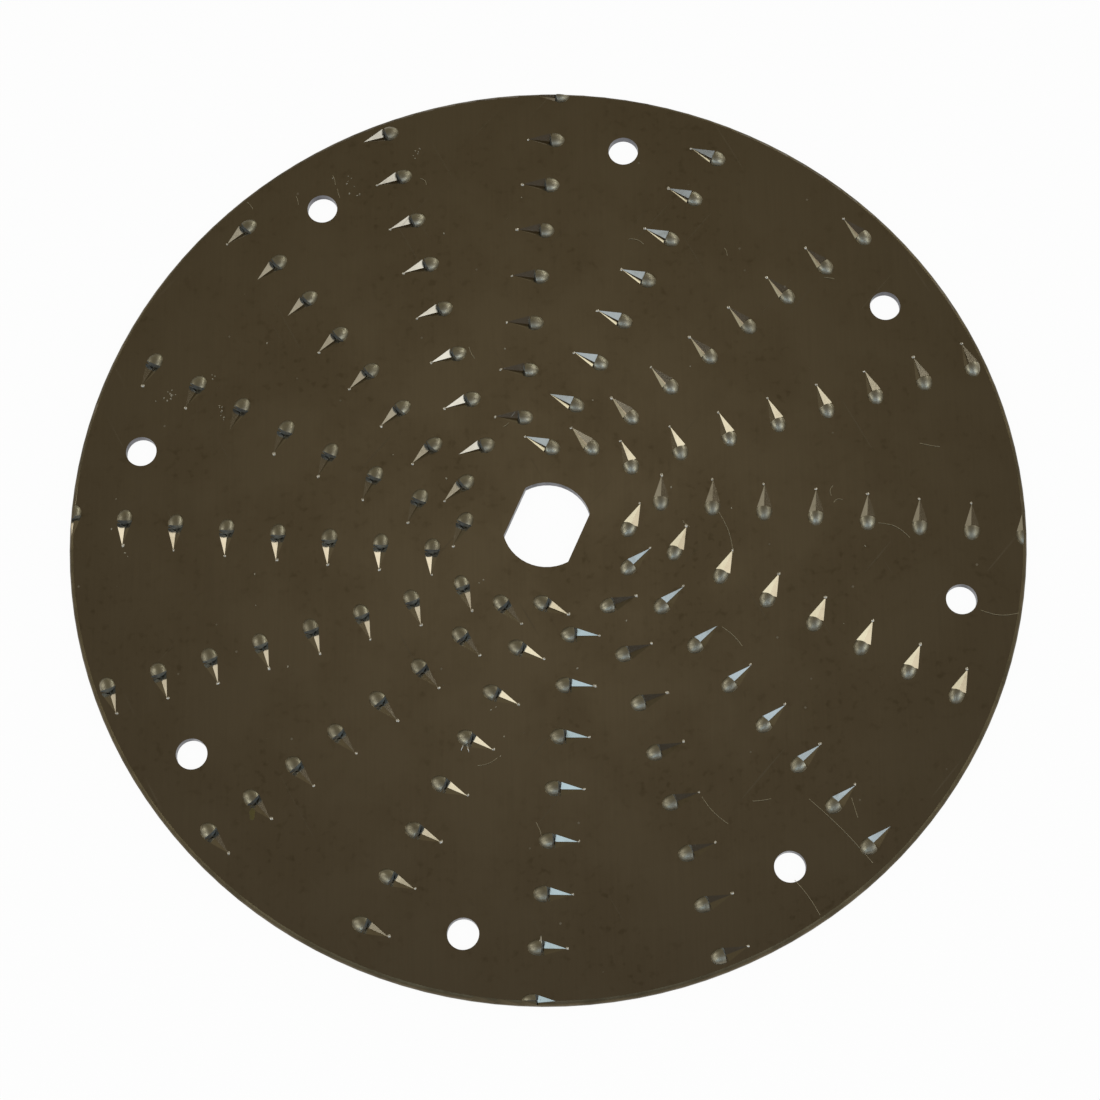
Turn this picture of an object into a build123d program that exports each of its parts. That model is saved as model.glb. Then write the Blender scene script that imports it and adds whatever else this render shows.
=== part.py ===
"""A food processor's grating disc: one sheet-steel stamping with rasp teeth struck up in straight rows.

Millimetres. The origin is the centre of the flat back face, +Z points through the sheet to the toothed face.
"""
from build123d import *
import os
from math import cos, radians, sin, sqrt

# Sheet and rim
disc_diameter = 205.0
sheet_thickness = 2.0
rim_round = 0.9  # height and width of the rolled edge left by blanking
rim_bulge = 0.16  # how far the rolled edge stands out from a straight bevel

# Double-D drive hole
drive_diameter = 19.05
drive_flats = 15.0
drive_turn = -24.5  # direction that the flats face

# Plain holes along the rim
rim_hole_count = 8
rim_hole_diameter = 6.6
rim_hole_inset = 13.0  # from the rim to a hole's centre
rim_hole_turn = 32.95

# Rows of teeth
row_count = 16
rows_in_cycle = 4  # the starts repeat after this many rows, so that no two tracks of a cycle coincide
tooth_pitch = 11.1
first_tooth = 23.75  # along the row, from the foot of the perpendicular through the disc's centre
row_step = 2.66  # each next row of a cycle starts this much further in
row_offset = 8.45  # from the disc's centre to the row's line
row_turn = -7.0  # direction of the first row

# One tooth: a V-shaped pit that deepens up to a cutting edge, and the round head raised behind it
tooth_skew = 3.3  # the tail trails inwards by this angle
pit_length = 5.05
pit_width = 3.2
pit_depth = 0.85
edge_turn = 9.0  # the cutting edge is set askew by this angle, its inner end back
mouth_spare = 1.15  # the groove's flanks run on above the face by this factor
head_length = 2.6
head_peak = 0.7  # the head is highest this far behind the cutting edge
head_width = 2.95
head_height = 1.25
head_spread = 224.0  # the flats turn through this angle, round the head's back
head_turns = 6
head_rises = (radians(18), radians(50))  # how steeply up each band of flats faces

# Worked out from the sizes above
disc_radius = disc_diameter / 2
flat_radius = disc_radius - rim_round  # the toothed face ends here
blank_seam = Vector(1, 0, 0).rotate(Axis.Z, rim_hole_turn)  # in line with a rim hole, clear of the teeth
head_back = head_length - head_peak  # from the head's highest point to its back
root_depth = sheet_thickness / 2  # how deep the head's metal is rooted in the sheet
pit_slope = Vector(-pit_length, 0, pit_depth)  # from the deepest point up to the tail's tip
wall_facing = pit_slope.rotate(Axis.Z, edge_turn)
wall_side = Vector(0, -1, 0).rotate(Axis.Z, edge_turn)
edge_lean = pit_depth * wall_facing.Z / -wall_facing.X  # the wall leans back by this much over the pit's depth
mouth_height = pit_depth * mouth_spare
mouth_width = pit_width * mouth_spare


def row_start(row):
    """How far along its line a row's first tooth is."""
    return first_tooth - (row % rows_in_cycle) * row_step


def tooth_place(row, number):
    """Where a tooth's cutting edge crosses its axis, and the turn of the tooth there."""
    angle = row_turn + row * 360 / row_count
    along = row_start(row) + number * tooth_pitch
    x = along * cos(radians(angle)) - row_offset * sin(radians(angle))
    y = along * sin(radians(angle)) + row_offset * cos(radians(angle))
    return Location((x, y, sheet_thickness), (0, 0, angle - 90 + tooth_skew))


def outward(place):
    """The direction from the disc's axis to a place on it."""
    return Vector(place.position.X, place.position.Y).normalized()


def tooth_reach(place):
    """How far from the disc's axis a tooth's head reaches."""
    return Vector(place.position.X, place.position.Y).length + head_width / 2


def teeth_in_row(row):
    """How many teeth the row holds out to the rim."""
    row_end = sqrt(disc_radius * disc_radius - row_offset * row_offset)
    return int((row_end - row_start(row)) / tooth_pitch) + 1


tooth_places = [tooth_place(row, number) for row in range(row_count) for number in range(teeth_in_row(row))]
whole_places = [place for place in tooth_places if tooth_reach(place) < flat_radius]
rim_places = [place for place in tooth_places if tooth_reach(place) >= flat_radius]

# The raised head of one tooth: flats that touch a half ellipsoid, cut off in front by the pit's wall
with BuildPart() as tooth_head:
    Box(head_length * 3, head_width * 2, head_height * 2 + sheet_thickness)
    for rise in head_rises:
        for turn in range(head_turns):
            around = radians((turn / (head_turns - 1) - 0.5) * head_spread)
            touch = (cos(rise) * cos(around), cos(rise) * sin(around), sin(rise))
            touch_point = Vector(head_back * touch[0], head_width / 2 * touch[1], head_height * touch[2])
            facing = Vector(touch[0] / head_back, touch[1] / (head_width / 2), touch[2] / head_height)
            split(bisect_by=Plane(touch_point + Vector(head_peak, 0), z_dir=facing), keep=Keep.BOTTOM)
    split(bisect_by=Plane.XY.offset(head_height), keep=Keep.BOTTOM)
    split(bisect_by=Plane.XY.offset(-root_depth), keep=Keep.TOP)
    split(bisect_by=Plane((0, 0, 0), z_dir=wall_facing), keep=Keep.BOTTOM)

# The pit of one tooth: a V groove driven in at a slant, ending in the wall under the cutting edge
with BuildPart() as tooth_pit:
    with BuildSketch(Plane((-edge_lean, 0, -pit_depth), x_dir=wall_side, z_dir=wall_facing)) as groove:
        with BuildLine():
            Polyline(
                (0, 0),
                (mouth_width / 2, mouth_height),
                (-mouth_width / 2, mouth_height),
                close=True,
            )
        make_face()
    extrude(amount=pit_slope.length, dir=pit_slope)

# The heads of the outermost teeth, cut off where the rolled edge starts
rim_heads = []
for place in rim_places:
    with BuildPart() as rim_head:
        with Locations(place):
            add(tooth_head.part)
        split(bisect_by=Plane(outward(place) * flat_radius, z_dir=outward(place)), keep=Keep.BOTTOM)
    rim_heads.append(rim_head.part)

# The disc: a blank with a rolled upper edge, its raised heads, then the pits and the holes
with BuildPart() as grater_disc:
    with BuildSketch(Plane((0, 0, 0), x_dir=blank_seam, z_dir=blank_seam.cross(Vector(0, 0, 1)))) as blank_half:
        with BuildLine():
            edge_foot = Vector(disc_radius, sheet_thickness - rim_round)
            edge_top = Vector(flat_radius, sheet_thickness)
            edge_mid = (edge_foot + edge_top) / 2 + Vector(rim_bulge, rim_bulge) / sqrt(2)
            Polyline((0, 0), (disc_radius, 0), edge_foot)
            ThreePointArc(edge_foot, edge_mid, edge_top)
            Polyline(edge_top, (0, sheet_thickness), (0, 0))
        make_face()
    revolve(axis=Axis.Z)
    with Locations(*whole_places):
        add(tooth_head.part)
    add(rim_heads)
    with Locations(*tooth_places):
        add(tooth_pit.part, mode=Mode.SUBTRACT)
    with BuildSketch() as holes:
        Circle(drive_diameter / 2)
        Rectangle(drive_flats, drive_diameter, rotation=drive_turn, mode=Mode.INTERSECT)
        with PolarLocations(disc_radius - rim_hole_inset, rim_hole_count, start_angle=rim_hole_turn):
            Circle(rim_hole_diameter / 2)
    extrude(amount=sheet_thickness + head_height, mode=Mode.SUBTRACT)

grater_disc.part.label = "grater_disc"
os.makedirs("parts", exist_ok=True)
export_step(grater_disc.part, "parts/grater_disc.step")
print("grater_disc", len(grater_disc.part.solids()), "solid,", len(grater_disc.part.faces()), "faces")
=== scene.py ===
import bpy
import bmesh
import random
from math import cos, pi, radians, sin
from mathutils import Euler, Matrix, Vector


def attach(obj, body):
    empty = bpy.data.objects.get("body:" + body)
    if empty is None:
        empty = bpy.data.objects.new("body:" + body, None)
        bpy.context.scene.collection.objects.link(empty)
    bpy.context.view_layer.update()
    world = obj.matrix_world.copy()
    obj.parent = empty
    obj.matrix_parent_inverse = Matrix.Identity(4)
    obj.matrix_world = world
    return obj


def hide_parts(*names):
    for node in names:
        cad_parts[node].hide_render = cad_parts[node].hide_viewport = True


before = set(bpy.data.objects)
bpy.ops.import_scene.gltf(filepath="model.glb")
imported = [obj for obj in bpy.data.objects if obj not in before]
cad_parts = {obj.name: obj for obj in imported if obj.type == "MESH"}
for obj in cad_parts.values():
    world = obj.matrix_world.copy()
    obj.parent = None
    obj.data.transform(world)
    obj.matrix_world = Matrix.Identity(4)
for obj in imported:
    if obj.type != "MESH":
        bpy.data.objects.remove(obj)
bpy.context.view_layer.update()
mm = 0.001
scene = bpy.context.scene
scene.view_settings.view_transform = "Standard"

mixFirst, mixSecond, mixResult = 6, 7, 2  # the colour sockets of a mix node


def linearColour(hexText):
    parts = [int(hexText[i:i + 2], 16) / 255 for i in (1, 3, 5)]
    return [c / 12.92 if c <= 0.04045 else ((c + 0.055) / 1.055) ** 2.4 for c in parts] + [1.0]


def addNode(tree, kind, inputs=None, **settings):
    made = tree.nodes.new(kind)
    for name, value in settings.items():
        setattr(made, name, value)
    for socket, value in (inputs or {}).items():
        if isinstance(value, bpy.types.NodeSocket):
            tree.links.new(value, made.inputs[socket])
        else:
            made.inputs[socket].default_value = value
    return made


def fromTo(value, limits, results=(0.0, 1.0)):
    return {
        "Value": value, "From Min": limits[0], "From Max": limits[1],
        "To Min": results[0], "To Max": results[1],
    }


def newMaterial(name):
    material = bpy.data.materials.new(name)
    material.use_nodes = True
    material.node_tree.nodes.clear()
    return material


def newPiece(name, bm, materials):
    mesh = bpy.data.meshes.new(name)
    bm.to_mesh(mesh)
    bm.free()
    for material in materials:
        mesh.materials.append(material)
    piece = bpy.data.objects.new(name, mesh)
    scene.collection.objects.link(piece)
    return piece


def smoothAll(piece):
    piece.data.polygons.foreach_set("use_smooth", [True] * len(piece.data.polygons))


# Bright rolled stainless sheet, handled for years: a mirror with smudges, dried drops and hair scratches.
# Its tone, darker and warmer than bare steel, is partly painted shade of the dim warm room it mirrors
sheetLook = {
    "name": "rolled_stainless_sheet_with_painted_shade",
    "clean": "#8f8676", "smudged": "#897f6e", "blot": "#6f6552",
    "roughness": 0.12, "smudgeRoughness": 0.18,
    "smudgeSize": 22.0,  # mm
    "blotSize": 1.8,  # mm
    "grainSize": 0.5, "grainStretch": 0.03, "grainLift": 0.003,  # mm, the rolling lines
    "scratchSize": 0.9, "scratchStretch": 0.03,  # mm
    "dropSpacing": 5.0, "dropReach": 0.35,  # mm, dried drops
}
# The same steel stretched over the heads of the teeth: its drawn grain scatters light, so the heads look
# satin;
# their tone, paler than the sheet's, is partly painted light on the domes
struckLook = {
    "name": "struck_stainless_heads_with_painted_light",
    "clean": "#9d9785", "smudged": "#8f8876", "blot": "#79725f",
    "roughness": 0.40, "smudgeRoughness": 0.48,
    "smudgeSize": 4.0, "blotSize": 0.7,
    "grainSize": 0.18, "grainStretch": 0.5, "grainLift": 0.006,
    "scratchSize": 0.5, "scratchStretch": 0.05,
    "dropSpacing": 4.0, "dropReach": 0.2,
}
# The edge rolled over by blanking: dull, with a dark tone that is painted shade, so it hardly stands out
# from the sheet
rimLook = {
    "name": "rolled_stainless_rim_with_painted_shade",
    "clean": "#665b45", "smudged": "#5a503c", "blot": "#4d4432",
    "roughness": 0.52, "smudgeRoughness": 0.60,
    "smudgeSize": 8.0, "blotSize": 1.2,
    "grainSize": 0.3, "grainStretch": 0.4, "grainLift": 0.005,
    "scratchSize": 0.5, "scratchStretch": 0.05,
    "dropSpacing": 4.0, "dropReach": 0.2,
}
# Sheared faces, in the holes and where blanking cut the outermost heads: a slate grey that hardly mirrors,
# partly darkened with painted shade
shearedLook = {
    "name": "sheared_stainless_edges_with_painted_shade",
    "clean": "#605f63", "smudged": "#525155", "blot": "#434246",
    "roughness": 0.30, "smudgeRoughness": 0.42,
    "smudgeSize": 3.0, "blotSize": 0.6,
    "grainSize": 0.25, "grainStretch": 0.1, "grainLift": 0.012,
    "scratchSize": 0.4, "scratchStretch": 0.05,
    "dropSpacing": 4.0, "dropReach": 0.2,
}
# Torn metal under the cutting edges: coarse and dull, in a light grey that is partly painted light on these
# shaded walls and sets each head off from its pit
tornLook = {
    "name": "torn_stainless_walls_with_painted_light",
    "clean": "#8c9192", "smudged": "#7a7d7f", "blot": "#5f6264",
    "roughness": 0.48, "smudgeRoughness": 0.60,
    "smudgeSize": 2.0, "blotSize": 0.5,
    "grainSize": 0.2, "grainStretch": 0.3, "grainLift": 0.02,
    "scratchSize": 0.4, "scratchStretch": 0.05,
    "dropSpacing": 4.0, "dropReach": 0.2,
}
# Wear on every steel: the limits within which each pattern fades in, and how much it changes
wear = {
    "smudgeLimits": (0.42, 0.62),
    "blotLimits": (0.56, 0.70), "blotShare": 0.55,
    "scratchTurns": (28, -41), "scratchLimits": (0.73, 0.79), "scratchDulls": 0.14,
    "grainLimits": (0.3, 0.7), "grainTones": (0.965, 1.025), "grainBump": 0.3,
    "dropCore": 0.5, "dropsFrom": 0.62, "dropDulls": 0.4,
}


def stainlessMaterial(look):
    material = newMaterial(look["name"])
    tree = material.node_tree
    place = addNode(tree, "ShaderNodeTexCoord").outputs["Object"]
    # smudges, and dark blots inside them
    smudge = addNode(tree, "ShaderNodeTexNoise", {
        "Vector": place, "Scale": 1 / (look["smudgeSize"] * mm), "Detail": 5.0, "Roughness": 0.6})
    cloud = addNode(tree, "ShaderNodeMapRange", fromTo(
        smudge.outputs["Fac"], wear["smudgeLimits"])).outputs["Result"]
    spots = addNode(tree, "ShaderNodeTexNoise", {
        "Vector": place, "Scale": 1 / (look["blotSize"] * mm), "Detail": 3.0})
    blot = addNode(tree, "ShaderNodeMapRange", fromTo(
        spots.outputs["Fac"], wear["blotLimits"], (0.0, wear["blotShare"]))).outputs["Result"]
    patchy = addNode(tree, "ShaderNodeMath", {0: blot, 1: cloud}, operation="MULTIPLY").outputs[0]
    # hair scratches in two directions
    lines = []
    for turn in wear["scratchTurns"]:
        along = addNode(tree, "ShaderNodeMapping", {
            "Vector": place, "Rotation": (0, 0, radians(turn)),
            "Scale": (1.0, 1 / look["scratchStretch"], 1.0)}, vector_type="TEXTURE")
        noise = addNode(tree, "ShaderNodeTexNoise", {
            "Vector": along.outputs["Vector"], "Scale": 1 / (look["scratchSize"] * mm), "Detail": 1.0})
        lines.append(addNode(tree, "ShaderNodeMapRange", fromTo(
            noise.outputs["Fac"], wear["scratchLimits"])).outputs["Result"])
    scratch = addNode(tree, "ShaderNodeMath", {0: lines[0], 1: lines[1]}, operation="MAXIMUM").outputs[0]
    # rolling lines
    rolled = addNode(tree, "ShaderNodeMapping", {
        "Vector": place, "Scale": (1.0, look["grainStretch"], 1.0)})
    grain = addNode(tree, "ShaderNodeTexNoise", {
        "Vector": rolled.outputs["Vector"], "Scale": 1 / (look["grainSize"] * mm),
        "Detail": 3.0}).outputs["Fac"]
    bump = addNode(tree, "ShaderNodeBump", {
        "Height": grain, "Strength": wear["grainBump"],
        "Distance": look["grainLift"] * mm}).outputs["Normal"]
    # colour
    soft = addNode(tree, "ShaderNodeMix", {
        "Factor": cloud, mixFirst: linearColour(look["clean"]),
        mixSecond: linearColour(look["smudged"])}, data_type="RGBA")
    spotted = addNode(tree, "ShaderNodeMix", {
        "Factor": patchy, mixFirst: soft.outputs[mixResult],
        mixSecond: linearColour(look["blot"])}, data_type="RGBA")
    streaked = addNode(tree, "ShaderNodeMapRange", fromTo(
        grain, wear["grainLimits"], wear["grainTones"])).outputs["Result"]
    colour = addNode(tree, "ShaderNodeVectorMath", {
        0: spotted.outputs[mixResult], "Scale": streaked}, operation="SCALE")
    # roughness, with dried drops in some of the cells
    dull = addNode(tree, "ShaderNodeMapRange", fromTo(
        cloud, (0.0, 1.0), (look["roughness"], look["smudgeRoughness"]))).outputs["Result"]
    cells = addNode(tree, "ShaderNodeTexVoronoi", {
        "Vector": place, "Scale": 1 / (look["dropSpacing"] * mm)})
    share = look["dropReach"] / look["dropSpacing"]
    drop = addNode(tree, "ShaderNodeMapRange", fromTo(
        cells.outputs["Distance"], (share, share * wear["dropCore"]))).outputs["Result"]
    chosen = addNode(tree, "ShaderNodeMath", {
        0: cells.outputs["Color"], 1: wear["dropsFrom"]}, operation="GREATER_THAN").outputs[0]
    dried = addNode(tree, "ShaderNodeMath", {0: drop, 1: chosen}, operation="MULTIPLY").outputs[0]
    scored = addNode(tree, "ShaderNodeMath", {
        0: scratch, 1: wear["scratchDulls"], 2: dull}, operation="MULTIPLY_ADD").outputs[0]
    rough = addNode(tree, "ShaderNodeMath", {
        0: dried, 1: wear["dropDulls"], 2: scored}, operation="MULTIPLY_ADD").outputs[0]
    shader = addNode(tree, "ShaderNodeBsdfPrincipled", {
        "Base Color": colour.outputs[0], "Metallic": 1.0, "Roughness": rough, "Normal": bump})
    addNode(tree, "ShaderNodeOutputMaterial", {"Surface": shader.outputs["BSDF"]})
    return material


steels = [stainlessMaterial(look) for look in (sheetLook, struckLook, shearedLook, tornLook, rimLook)]
sheetFace, struckFace, shearedFace, tornFace, rimFace = range(5)
print("steels ready")


def dirtMaterial(look):
    material = newMaterial(look["name"])
    tree = material.node_tree
    place = addNode(tree, "ShaderNodeTexCoord").outputs["Object"]
    tone = addNode(tree, "ShaderNodeTexNoise", {
        "Vector": place, "Scale": 1 / (look["grainSize"] * mm),
        "Detail": look["grainDetail"]}).outputs["Fac"]
    first, second = look["tones"]
    mixed = addNode(tree, "ShaderNodeMix", {
        "Factor": tone, mixFirst: linearColour(first), mixSecond: linearColour(second)}, data_type="RGBA")
    bump = addNode(tree, "ShaderNodeBump", {
        "Height": tone, "Strength": look["grainBump"], "Distance": look["grainLift"] * mm})
    shader = addNode(tree, "ShaderNodeBsdfPrincipled", {
        "Base Color": mixed.outputs[mixResult], "Roughness": look["roughness"],
        "Normal": bump.outputs["Normal"]})
    addNode(tree, "ShaderNodeOutputMaterial", {"Surface": shader.outputs["BSDF"]})
    return material


# Rows of teeth, as the sheet was struck: sizes in millimetres, angles in degrees
teeth = {
    "rows": 16, "perRow": 8, "cycle": 4,
    "pitch": 11.1, "first": 23.75, "rowStep": 2.66, "rowOffset": 8.45, "rowTurn": -7.0,
    "skew": 3.3, "edgeTurn": 9.0,
    "pitLength": 5.05, "pitDepth": 0.85,
    "headLength": 3.0, "headPeak": 0.8, "headWidth": 3.45, "headHeight": 1.2,
    "headRoot": 0.25,  # how deep a head reaches into the sheet
    "headSegments": (16, 10),  # round a head, and from its top to its bottom
    "headLean": 0.42,  # the heads lean forwards over the pits, so the cutting edge is the highest line
    "lipBow": 0.2, "lipRadius": 3.0,  # the cutting edge is rounded, seen from above
    "lipTurns": (-24, -12, 0, 12, 24),
    "flatRadius": 101.6,  # the toothed face ends here
    "heightSpread": 0.04, "sideSpread": 0.04, "seed": 11,  # how much one head differs from the next
}
topFace = 2.0 * mm  # the toothed face, above the back
weldDistance, cutDistance = 1e-6, 1e-7  # metres
# What the upward part of a face's direction, or its outward part at the rim, says about its finish and its
# painted shade or light
leans = {"rim": 0.2, "upright": 0.05, "steep": 0.3, "level": 0.999}
sharpAngle = 28


def toothMatrix(row, number):
    angle = radians(teeth["rowTurn"] + row * 360 / teeth["rows"])
    along = teeth["first"] - (row % teeth["cycle"]) * teeth["rowStep"] + number * teeth["pitch"]
    x = along * cos(angle) - teeth["rowOffset"] * sin(angle)
    y = along * sin(angle) + teeth["rowOffset"] * cos(angle)
    turn = Matrix.Rotation(angle - pi / 2 + radians(teeth["skew"]), 4, "Z")
    return Matrix.Translation((x * mm, y * mm, topFace)) @ turn


toothPlaces = [
    toothMatrix(row, number) for row in range(teeth["rows"]) for number in range(teeth["perRow"])]
leanForward = Matrix(((1, 0, -teeth["headLean"], 0), (0, 1, 0, 0), (0, 0, 1, 0), (0, 0, 0, 1)))
edgeTurn = Matrix.Rotation(radians(teeth["edgeTurn"]), 3, "Z")
wallFacing = edgeTurn @ Vector((-teeth["pitLength"], 0, teeth["pitDepth"]))


def openEdges(bm):
    return [edge for edge in bm.edges if edge.is_boundary]


def cutOff(bm, point, facing, finish):
    bmesh.ops.bisect_plane(
        bm, geom=bm.verts[:] + bm.edges[:] + bm.faces[:], dist=cutDistance,
        plane_co=point, plane_no=facing, clear_outer=True)
    filled = bmesh.ops.holes_fill(bm, edges=openEdges(bm), sides=0)
    for face in filled["faces"]:
        face.material_index = finish
    bmesh.ops.recalc_face_normals(bm, faces=bm.faces)


def headMesh(rng):
    bm = bmesh.new()
    around, down = teeth["headSegments"]
    bmesh.ops.create_uvsphere(bm, u_segments=around, v_segments=down, radius=1.0)
    for face in bm.faces:
        face.material_index = struckFace
    tall = teeth["headHeight"] * (1 + rng.uniform(-1, 1) * teeth["heightSpread"])
    broad = teeth["headWidth"] / 2 * (1 + rng.uniform(-1, 1) * teeth["sideSpread"])
    back = teeth["headLength"] - teeth["headPeak"]
    bmesh.ops.scale(bm, verts=bm.verts, vec=(back * mm, broad * mm, tall * mm))
    bmesh.ops.translate(bm, verts=bm.verts, vec=(teeth["headPeak"] * mm, 0, 0))
    bmesh.ops.transform(bm, verts=bm.verts, matrix=leanForward)
    middle = Vector((teeth["lipRadius"] - teeth["lipBow"], 0, 0))
    for angle in teeth["lipTurns"]:
        turn = Matrix.Rotation(radians(angle), 3, "Z")
        lip = middle + turn @ Vector((-teeth["lipRadius"], 0, 0))
        cutOff(bm, lip * mm, turn @ wallFacing, tornFace)
    cutOff(bm, Vector((0, 0, -teeth["headRoot"] * mm)), Vector((0, 0, -1)), struckFace)
    return bm


# The rim and the hole walls take steels darkened with painted shade, the pit walls one lifted with painted
# light
def sheetFinish(face):
    middle = face.calc_center_median()
    outward = Vector((middle.x, middle.y, 0))
    atRim = outward.length > teeth["flatRadius"] * mm
    if atRim and face.normal.dot(outward) > leans["rim"] * outward.length:
        return rimFace
    if abs(face.normal.z) < leans["upright"]:
        return shearedFace
    return tornFace if face.normal.z < leans["steep"] else sheetFace


def buildDisc():
    bm = bmesh.new()
    bm.from_mesh(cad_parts["grater_disc"].data)
    bmesh.ops.remove_doubles(bm, verts=bm.verts, dist=weldDistance)
    # the heads made of flats come off at the toothed face, and their footprints are closed
    bmesh.ops.bisect_plane(
        bm, geom=bm.verts[:] + bm.edges[:] + bm.faces[:], dist=weldDistance,
        plane_co=(0, 0, topFace), plane_no=(0, 0, 1))
    flats = [face for face in bm.faces if face.calc_center_median().z > topFace + 2 * weldDistance]
    bmesh.ops.delete(bm, geom=flats, context="FACES")
    bmesh.ops.holes_fill(bm, edges=openEdges(bm), sides=0)
    bm.normal_update()
    for face in bm.faces:
        face.material_index = sheetFinish(face)
    print("sheet faces", len(bm.faces), "open edges", len(openEdges(bm)))
    rng = random.Random(teeth["seed"])
    for place in toothPlaces:
        struck = headMesh(rng)
        struck.transform(place)
        outward = Vector((place.translation.x, place.translation.y, 0))
        if outward.length > (teeth["flatRadius"] - teeth["headWidth"] / 2) * mm:
            cutOff(struck, outward.normalized() * teeth["flatRadius"] * mm, outward, shearedFace)
        joined = bpy.data.meshes.new("struckHead")
        struck.to_mesh(joined)
        struck.free()
        bm.from_mesh(joined)
    piece = newPiece("grating_disc", bm, steels)
    # the stored normals belonged to the uncut triangles
    piece.data.attributes.remove(piece.data.attributes["custom_normal"])
    piece.data.set_sharp_from_angle(angle=radians(sharpAngle))
    for face in piece.data.polygons:
        # the plate stays dead flat
        face.use_smooth = face.material_index == struckFace or abs(face.normal.z) < leans["level"]
    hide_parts("grater_disc")
    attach(piece, "root")
    return piece


disc = buildDisc()
print("disc faces", len(disc.data.polygons))

# Burrs: a bead of metal thrown up where each pit starts, and slivers torn off two edges.
# Their tone, paler than the other steels, is partly a painted glint. Sizes in millimetres
burrs = {
    "place": (-5.25, -0.12), "shift": 0.12,
    "size": 0.34, "spread": 0.25, "shape": (1.15, 0.9, 0.75),
    "missing": 0.08, "seed": 23,  # the share of teeth without one
    # tooth, foot on it, reach across the plate and half width of each torn sliver
    "slivers": (
        ((12, 6), (0.4, 0.3, 0.3), (0.3, 2.6, 0.75), 0.62),
        ((11, 3), (0.9, 1.0, 0.2), (-0.7, -1.9, 0.15), 0.24),
        ((11, 3), (0.3, 1.1, 0.2), (0.45, -2.0, 0.15), 0.22),
    ),
    "sliverTip": 0.04, "sliverFlat": 0.35, "sliverSegments": 10,
    "look": {
        "name": "burr_metal_with_painted_glint",
        "clean": "#d6d0c4", "smudged": "#bdb6a8", "blot": "#8f8878",
        "roughness": 0.38, "smudgeRoughness": 0.5,
        "smudgeSize": 2.0, "blotSize": 0.4,
        "grainSize": 0.12, "grainStretch": 0.6, "grainLift": 0.01,
        "scratchSize": 0.3, "scratchStretch": 0.1,
        "dropSpacing": 4.0, "dropReach": 0.1,
    },
}


def buildBurrs():
    bm = bmesh.new()
    rng = random.Random(burrs["seed"])
    x, y = burrs["place"]
    stray = burrs["shift"]
    shape = Matrix.Diagonal((*burrs["shape"], 1.0))
    for place in toothPlaces:
        size = burrs["size"] * (1 + rng.uniform(-1, 1) * burrs["spread"])
        shift = Vector((rng.uniform(-stray, stray), rng.uniform(-stray, stray)))
        if rng.random() < burrs["missing"]:
            continue
        spot = place @ Vector(((x + shift.x) * mm, (y + shift.y) * mm, 0))
        if Vector((spot.x, spot.y)).length > teeth["flatRadius"] * mm:
            continue
        turn = Matrix.Rotation(rng.uniform(0, pi), 4, "Z")
        bmesh.ops.create_icosphere(
            bm, subdivisions=2, radius=size * mm, matrix=Matrix.Translation(spot) @ turn @ shape)
    for tooth, spot, across, wide in burrs["slivers"]:
        foot = toothMatrix(*tooth) @ (Vector(spot) * mm)
        reach = Vector(across) * mm
        lie = reach.to_track_quat("Z", "Y").to_matrix().to_4x4()
        thin = Matrix.Diagonal((1.0, burrs["sliverFlat"], 1.0, 1.0))
        bmesh.ops.create_cone(
            bm, cap_ends=True, segments=burrs["sliverSegments"], radius1=wide * mm,
            radius2=burrs["sliverTip"] * mm, depth=reach.length,
            matrix=Matrix.Translation(foot + reach / 2) @ lie @ thin)
    piece = newPiece("tail_burrs", bm, [stainlessMaterial(burrs["look"])])
    smoothAll(piece)
    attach(piece, "root")
    return piece


burrPiece = buildBurrs()
print("burr faces", len(burrPiece.data.polygons))

# Lint: dry fibres left by a cloth, dull and straw coloured, lying on the plate where the photo shows them,
# and a few loose ones. Sizes in millimetres
lint = {
    "radius": 0.05, "rise": 0.12, "steps": 9,
    # start, end and sideways bow
    "strands": (
        ((36.9, 1.9), (39.6, -7.3), 0.6),
        ((70.8, -1.3), (77.4, -4.8), 0.9),
        ((91.4, -21.2), (99.4, -22.0), -0.8),
        ((36.6, -23.6), (40.7, -27.9), 0.3),
        ((31.1, -60.1), (36.3, -65.9), -0.5),
        ((53.2, -61.0), (65.7, -74.7), 0.4),
        ((49.5, -77.9), (54.3, -85.2), 0.3),
        ((-46.4, 83.3), (-45.8, 80.9), 0.1),
        ((-45.3, 79.9), (-44.8, 77.7), -0.1),
        ((-54.6, 78.4), (-54.0, 76.2), 0.1),
        ((-65.5, 77.2), (-64.2, 75.5), 0.1),
    ),
    "loose": 14, "looseReach": (20, 92), "looseLength": (1.5, 4.5), "looseBow": 0.5, "seed": 5,
    "look": {
        "name": "dry_lint", "tones": ("#8a7d62", "#a89c80"), "roughness": 0.8,
        "grainSize": 1.5, "grainDetail": 2.0, "grainBump": 0.0, "grainLift": 0.03,
    },
}


def strandPoints(start, end, bow):
    first, last = Vector(start), Vector(end)
    side = Vector((first.y - last.y, last.x - first.x)).normalized()
    points = []
    for step in range(lint["steps"]):
        share = step / (lint["steps"] - 1)
        arch = sin(pi * share)
        flat = first.lerp(last, share) + side * bow * arch
        height = topFace + (lint["radius"] + lint["rise"] * arch) * mm
        points.append(Vector((flat.x * mm, flat.y * mm, height)))
    return points


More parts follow.
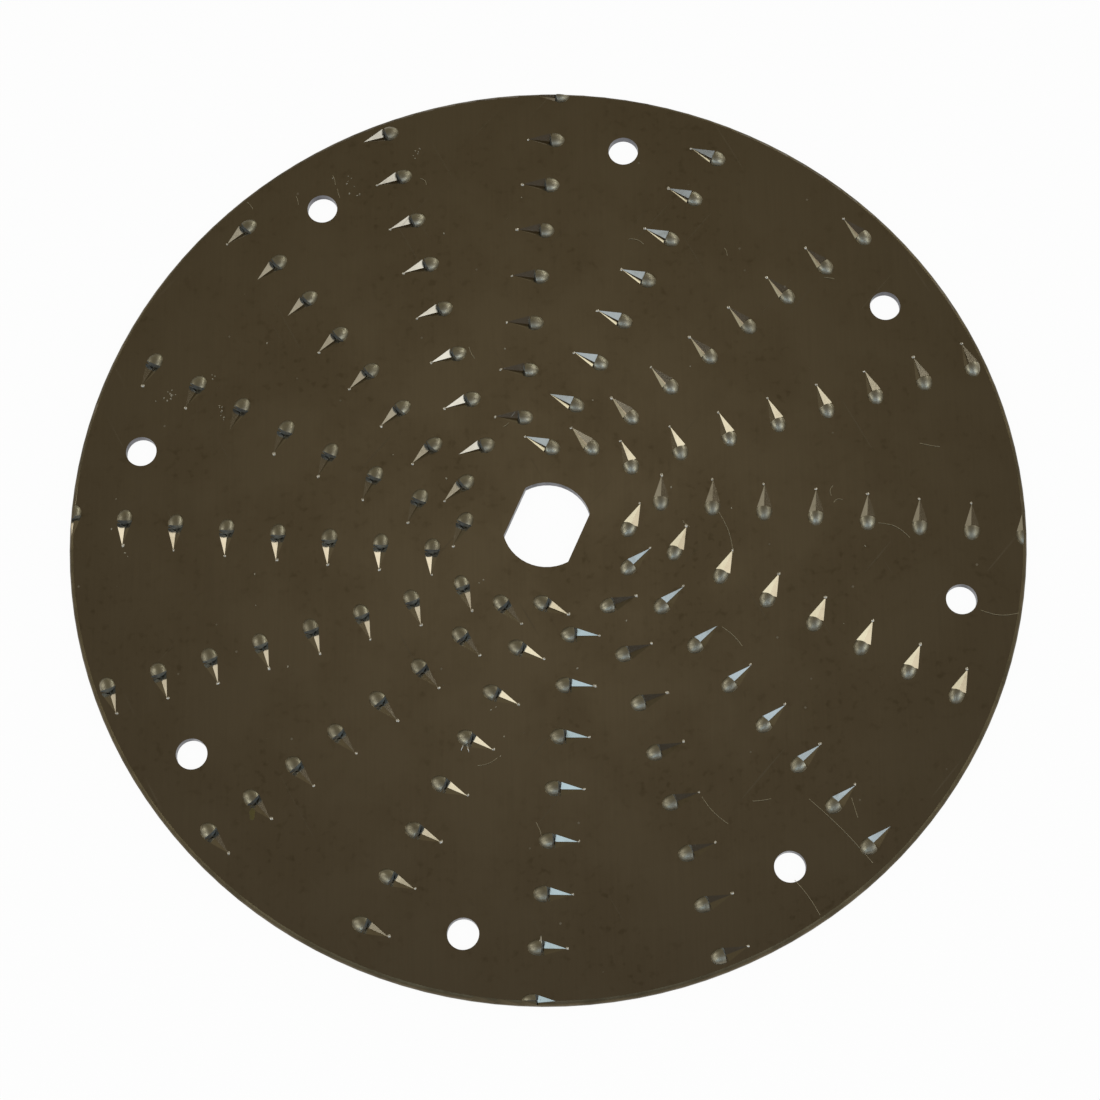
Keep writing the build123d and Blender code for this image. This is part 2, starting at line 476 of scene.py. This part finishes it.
def buildLint():
    curve = bpy.data.curves.new("lintStrands", "CURVE")
    curve.dimensions = "3D"
    curve.bevel_depth = lint["radius"] * mm
    curve.bevel_resolution = 1
    curve.use_fill_caps = True
    rng = random.Random(lint["seed"])
    strands = list(lint["strands"])
    for _ in range(lint["loose"]):
        away, angle, turn = rng.uniform(*lint["looseReach"]), rng.uniform(0, 2 * pi), rng.uniform(0, 2 * pi)
        length = rng.uniform(*lint["looseLength"])
        begin = (away * cos(angle), away * sin(angle))
        finish = (begin[0] + length * cos(turn), begin[1] + length * sin(turn))
        strands.append((begin, finish, rng.uniform(-lint["looseBow"], lint["looseBow"])))
    for strand in strands:
        points = strandPoints(*strand)
        spline = curve.splines.new("POLY")
        spline.points.add(len(points) - 1)
        for point, place in zip(spline.points, points):
            point.co = (*place, 1.0)
    holder = bpy.data.objects.new("lintHolder", curve)
    mesh = bpy.data.meshes.new_from_object(holder)
    bpy.data.objects.remove(holder)
    bm = bmesh.new()
    bm.from_mesh(mesh)
    piece = newPiece("lint", bm, [dirtMaterial(lint["look"])])
    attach(piece, "root")
    return piece


lintPiece = buildLint()
print("lint faces", len(lintPiece.data.polygons))

# Crumbs: specks of dried food, pale and dull, and one yellowish smear of grease beside a tooth.
# Sizes in millimetres
crumbs = {
    # middle, half length and half width of each patch, its direction in degrees, and how many specks
    "patches": (
        ((-81.4, 31.2), 2.2, 1.6, 40, 11),
        ((-72.3, 36.1), 1.0, 0.6, 120, 3),
        ((-69.9, 26.2), 3.0, 0.4, 110, 9),
        ((-91.5, -1.3), 7.0, 1.4, 100, 8),
        ((-11.8, -40.2), 1.0, 0.8, 0, 2),
        ((-42.3, 80.8), 3.4, 2.4, 130, 10),
        ((-27.6, 88.4), 1.8, 1.0, 20, 6),
    ),
    "scattered": 26, "scatterReach": (16, 84), "seed": 31,
    "size": (0.08, 0.18), "shape": (1.4, 1.0, 0.6), "seat": 0.6, "uneven": 0.25,
    "toothTail": -6.2, "toothBack": 3.2, "toothSide": 2.1,  # no speck lies nearer to a tooth
    "smear": (-62.3, -61.6), "smearSize": (0.6, 1.15, 0.03),
    "smearWaves": ((0.18, 3, 1), (0.14, 5, 0)),  # depth, count and start, along and across
    "speckLook": {
        "name": "dried_crumbs", "tones": ("#857c6a", "#a69c88"), "roughness": 0.85,
        "grainSize": 0.6, "grainDetail": 3.0, "grainBump": 0.4, "grainLift": 0.03,
    },
    "smearLook": {
        "name": "grease_smear", "tones": ("#5f5424", "#4b4226"), "roughness": 0.4,
        "grainSize": 0.6, "grainDetail": 3.0, "grainBump": 0.4, "grainLift": 0.03,
    },
}
smearFace = 1  # the second of the crumbs' materials


def onPlate(spot):
    for place in toothPlaces:
        near = place.inverted() @ Vector((spot.x * mm, spot.y * mm, topFace)) / mm
        beside = abs(near.y) < crumbs["toothSide"]
        if beside and crumbs["toothTail"] < near.x < crumbs["toothBack"]:
            return False
    return True


def buildCrumbs():
    bm = bmesh.new()
    rng = random.Random(crumbs["seed"])
    spots = []
    for middle, long, wide, turn, count in crumbs["patches"]:
        for _ in range(count):
            shift = Vector((rng.gauss(0, long / 2), rng.gauss(0, wide / 2)))
            spots.append(Vector(middle) + Matrix.Rotation(radians(turn), 2) @ shift)
    for _ in range(crumbs["scattered"]):
        away, angle = rng.uniform(*crumbs["scatterReach"]), rng.uniform(0, 2 * pi)
        spots.append(Vector((away * cos(angle), away * sin(angle))))
    shape = Matrix.Diagonal((*crumbs["shape"], 1.0))
    for spot in [spot for spot in spots if onPlate(spot)]:
        radius = rng.uniform(*crumbs["size"]) * mm
        height = topFace + radius * crumbs["shape"][2] * crumbs["seat"]
        place = Matrix.Translation((spot.x * mm, spot.y * mm, height))
        turn = Matrix.Rotation(rng.uniform(0, pi), 4, "Z")
        made = bmesh.ops.create_icosphere(bm, subdivisions=2, radius=radius, matrix=place @ (turn @ shape))
        for vert in made["verts"]:
            vert.co += (vert.co - place.translation) * rng.uniform(-1, 1) * crumbs["uneven"]
    speckFaces = len(bm.faces)
    smear = Matrix.Translation((crumbs["smear"][0] * mm, crumbs["smear"][1] * mm, topFace))
    film = bmesh.ops.create_icosphere(
        bm, subdivisions=4, radius=mm, matrix=smear @ Matrix.Diagonal((*crumbs["smearSize"], 1.0)))
    for vert in film["verts"]:
        away = vert.co - smear.translation
        waves = zip(away, crumbs["smearWaves"])
        edge = 1 + sum(deep * sin(count * reach / mm + start) for reach, (deep, count, start) in waves)
        vert.co = smear.translation + Vector((away.x * edge, away.y * edge, away.z))
    bm.faces.ensure_lookup_table()
    for face in bm.faces[speckFaces:]:
        face.material_index = smearFace
    piece = newPiece("crumbs", bm, [dirtMaterial(crumbs["speckLook"]), dirtMaterial(crumbs["smearLook"])])
    smoothAll(piece)
    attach(piece, "root")
    return piece


crumbPiece = buildCrumbs()
print("crumb faces", len(crumbPiece.data.polygons))

# Floor: plain white paper under the disc, which shows as white and keeps a faint shadow
floorLook = {
    "radius": 6.0, "segments": 96,  # metres
    "colour": "#f7f6f3",
    "lift": 0.96,  # how far it is lifted to white where it is seen
    "fibreSize": 2.5, "fibreLift": 0.1, "fibreBump": 0.05,  # mm
}


def buildFloor():
    material = newMaterial("white_paper_floor")
    tree = material.node_tree
    place = addNode(tree, "ShaderNodeTexCoord").outputs["Object"]
    fibre = addNode(tree, "ShaderNodeTexNoise", {
        "Vector": place, "Scale": 1 / (floorLook["fibreSize"] * mm), "Detail": 4.0})
    bump = addNode(tree, "ShaderNodeBump", {
        "Height": fibre.outputs["Fac"], "Strength": floorLook["fibreBump"],
        "Distance": floorLook["fibreLift"] * mm})
    paper = addNode(tree, "ShaderNodeBsdfDiffuse", {
        "Color": linearColour(floorLook["colour"]), "Normal": bump.outputs["Normal"]})
    glow = addNode(tree, "ShaderNodeEmission", {"Color": (1, 1, 1, 1), "Strength": 1.0})
    light = addNode(tree, "ShaderNodeLightPath")
    seen = light.outputs["Is Camera Ray"]
    for ray in ("Is Glossy Ray", "Is Transmission Ray"):
        seen = addNode(tree, "ShaderNodeMath", {
            0: seen, 1: light.outputs[ray]}, operation="MAXIMUM").outputs[0]
    share = addNode(tree, "ShaderNodeMath", {0: seen, 1: floorLook["lift"]}, operation="MULTIPLY")
    mixed = addNode(tree, "ShaderNodeMixShader", {
        0: share.outputs[0], 1: paper.outputs[0], 2: glow.outputs[0]})
    addNode(tree, "ShaderNodeOutputMaterial", {"Surface": mixed.outputs[0]})
    bm = bmesh.new()
    bmesh.ops.create_circle(bm, cap_ends=True, segments=floorLook["segments"], radius=floorLook["radius"])
    floor = newPiece("floor", bm, [material])


buildFloor()

# Studio: a dim warm ceiling, a pale horizon, and soft panels round the table
studio = {
    "ceiling": (0.174, 0.155, 0.121),
    "room": (0.285, 0.265, 0.215),
    "horizon": (0.92, 0.92, 0.91),
    "horizonLimits": (0.02, 0.07), "ceilingLimits": (0.55, 0.85),  # heights on the unit sphere
    # daylight on the camera's side of the room, lamp light opposite
    "nearTint": (1.0, 1.02, 1.14), "farTint": (1.04, 1.0, 0.86), "tintLimits": (-0.5, 0.5),
    # azimuth, elevation and reach in degrees, and how much lighter or darker the room is there
    "patches": (
        (92, 72, 11, 1.75),
        (276, 40, 17, 0.45),
        (114, 16, 20, 0.5),
    ),
    "panelDistance": 1.3,  # metres
    # azimuth, elevation, half width and half height in degrees, brightness, tint
    "panels": (
        (206, 41, 11, 12, 2.9, (0.98, 1.02, 0.97)),
        (243, 38, 8, 8, 2.5, (0.57, 0.89, 1.30)),
        (262, 56, 9, 7, 2.0, (0.64, 0.86, 1.20)),
        (305, 38, 7, 8, 2.5, (0.56, 0.82, 1.22)),
        (328, 52, 8, 8, 3.4, (0.82, 0.92, 1.06)),
        (334, 34, 8, 9, 2.8, (0.96, 1.02, 0.96)),
        (355, 47, 7, 7, 1.25, (0.95, 1.0, 1.0)),
        (0, 28, 7, 8, 0.58, (0.97, 1.02, 0.97)),
        (39, 32, 8, 10, 2.9, (0.98, 1.0, 0.98)),
        (43, 14, 7, 5, 1.0, (0.95, 1.03, 0.94)),
        (61, 10, 7, 6, 2.9, (1.0, 1.05, 0.96)),
        (155, 35, 8, 9, 2.5, (1.0, 1.02, 0.98)),
        (165, 20, 7, 5, 2.0, (0.98, 1.0, 0.97)),
    ),
}


def towards(azimuth, elevation):
    around, up = radians(azimuth), radians(elevation)
    return Vector((cos(up) * cos(around), cos(up) * sin(around), sin(up)))


def buildRoom():
    world = bpy.data.worlds.new("studio")
    scene.world = world
    world.use_nodes = True
    tree = world.node_tree
    tree.nodes.clear()
    place = addNode(tree, "ShaderNodeTexCoord").outputs["Generated"]
    split = addNode(tree, "ShaderNodeSeparateXYZ", {"Vector": place})
    rise = addNode(tree, "ShaderNodeMapRange", fromTo(split.outputs["Z"], studio["ceilingLimits"]))
    walls = addNode(tree, "ShaderNodeMix", {
        "Factor": rise.outputs["Result"], mixFirst: (*studio["room"], 1),
        mixSecond: (*studio["ceiling"], 1)}, data_type="RGBA")
    side = addNode(tree, "ShaderNodeMapRange", fromTo(split.outputs["Y"], studio["tintLimits"]))
    tint = addNode(tree, "ShaderNodeMix", {
        "Factor": side.outputs["Result"], mixFirst: (*studio["nearTint"], 1),
        mixSecond: (*studio["farTint"], 1)}, data_type="RGBA")
    tinted = addNode(tree, "ShaderNodeVectorMath", {
        0: walls.outputs[mixResult], 1: tint.outputs[mixResult]}, operation="MULTIPLY")
    low = addNode(tree, "ShaderNodeMapRange", fromTo(split.outputs["Z"], studio["horizonLimits"]))
    room = addNode(tree, "ShaderNodeMix", {
        "Factor": low.outputs["Result"], mixFirst: (*studio["horizon"], 1),
        mixSecond: tinted.outputs[0]}, data_type="RGBA")
    strength = 1.0
    for azimuth, elevation, reach, lift in studio["patches"]:
        facing = addNode(tree, "ShaderNodeVectorMath", {
            0: place, 1: towards(azimuth, elevation)}, operation="DOT_PRODUCT")
        apart = addNode(tree, "ShaderNodeMath", {0: facing.outputs["Value"]}, operation="ARCCOSINE")
        patch = addNode(tree, "ShaderNodeMapRange", fromTo(
            apart.outputs[0], (0.0, radians(reach)), (lift, 1.0)))
        strength = addNode(tree, "ShaderNodeMath", {
            0: patch.outputs["Result"], 1: strength}, operation="MULTIPLY").outputs[0]
    sky = addNode(tree, "ShaderNodeBackground", {"Color": room.outputs[mixResult], "Strength": strength})
    addNode(tree, "ShaderNodeOutputWorld", {"Surface": sky.outputs[0]})


def buildPanels():
    distance = studio["panelDistance"]
    for index, (azimuth, elevation, wide, high, level, tint) in enumerate(studio["panels"]):
        toPanel = towards(azimuth, elevation)
        light = bpy.data.lights.new(f"panel{index}", "AREA")
        light.shape = "RECTANGLE"
        light.size = 2 * distance * sin(radians(wide))
        light.size_y = 2 * distance * sin(radians(high))
        light.energy = level * pi * light.size * light.size_y
        light.color = tint
        lamp = bpy.data.objects.new(f"panel{index}", light)
        lamp.location = toPanel * distance
        lamp.rotation_euler = toPanel.to_track_quat("Z", "Y").to_euler()
        scene.collection.objects.link(lamp)


buildRoom()
buildPanels()

# Camera, fitted to the disc's outline and its eight rim holes in the photo: millimetres and degrees
view = {
    "place": (6.237, -176.652, 543.909), "turn": (17.490, 0.927, -1.043),
    "lens": 87.11, "sensor": 36.0,
    "clip": (0.01, 50.0),  # metres
}


def buildCamera():
    data = bpy.data.cameras.new("camera")
    data.sensor_width = view["sensor"]
    data.lens = view["lens"]
    data.clip_start, data.clip_end = view["clip"]
    camera = bpy.data.objects.new("camera", data)
    camera.location = Vector(view["place"]) * mm
    camera.rotation_euler = Euler([radians(v) for v in view["turn"]], "XYZ")
    scene.collection.objects.link(camera)
    scene.camera = camera


buildCamera()
print("studio and camera ready")
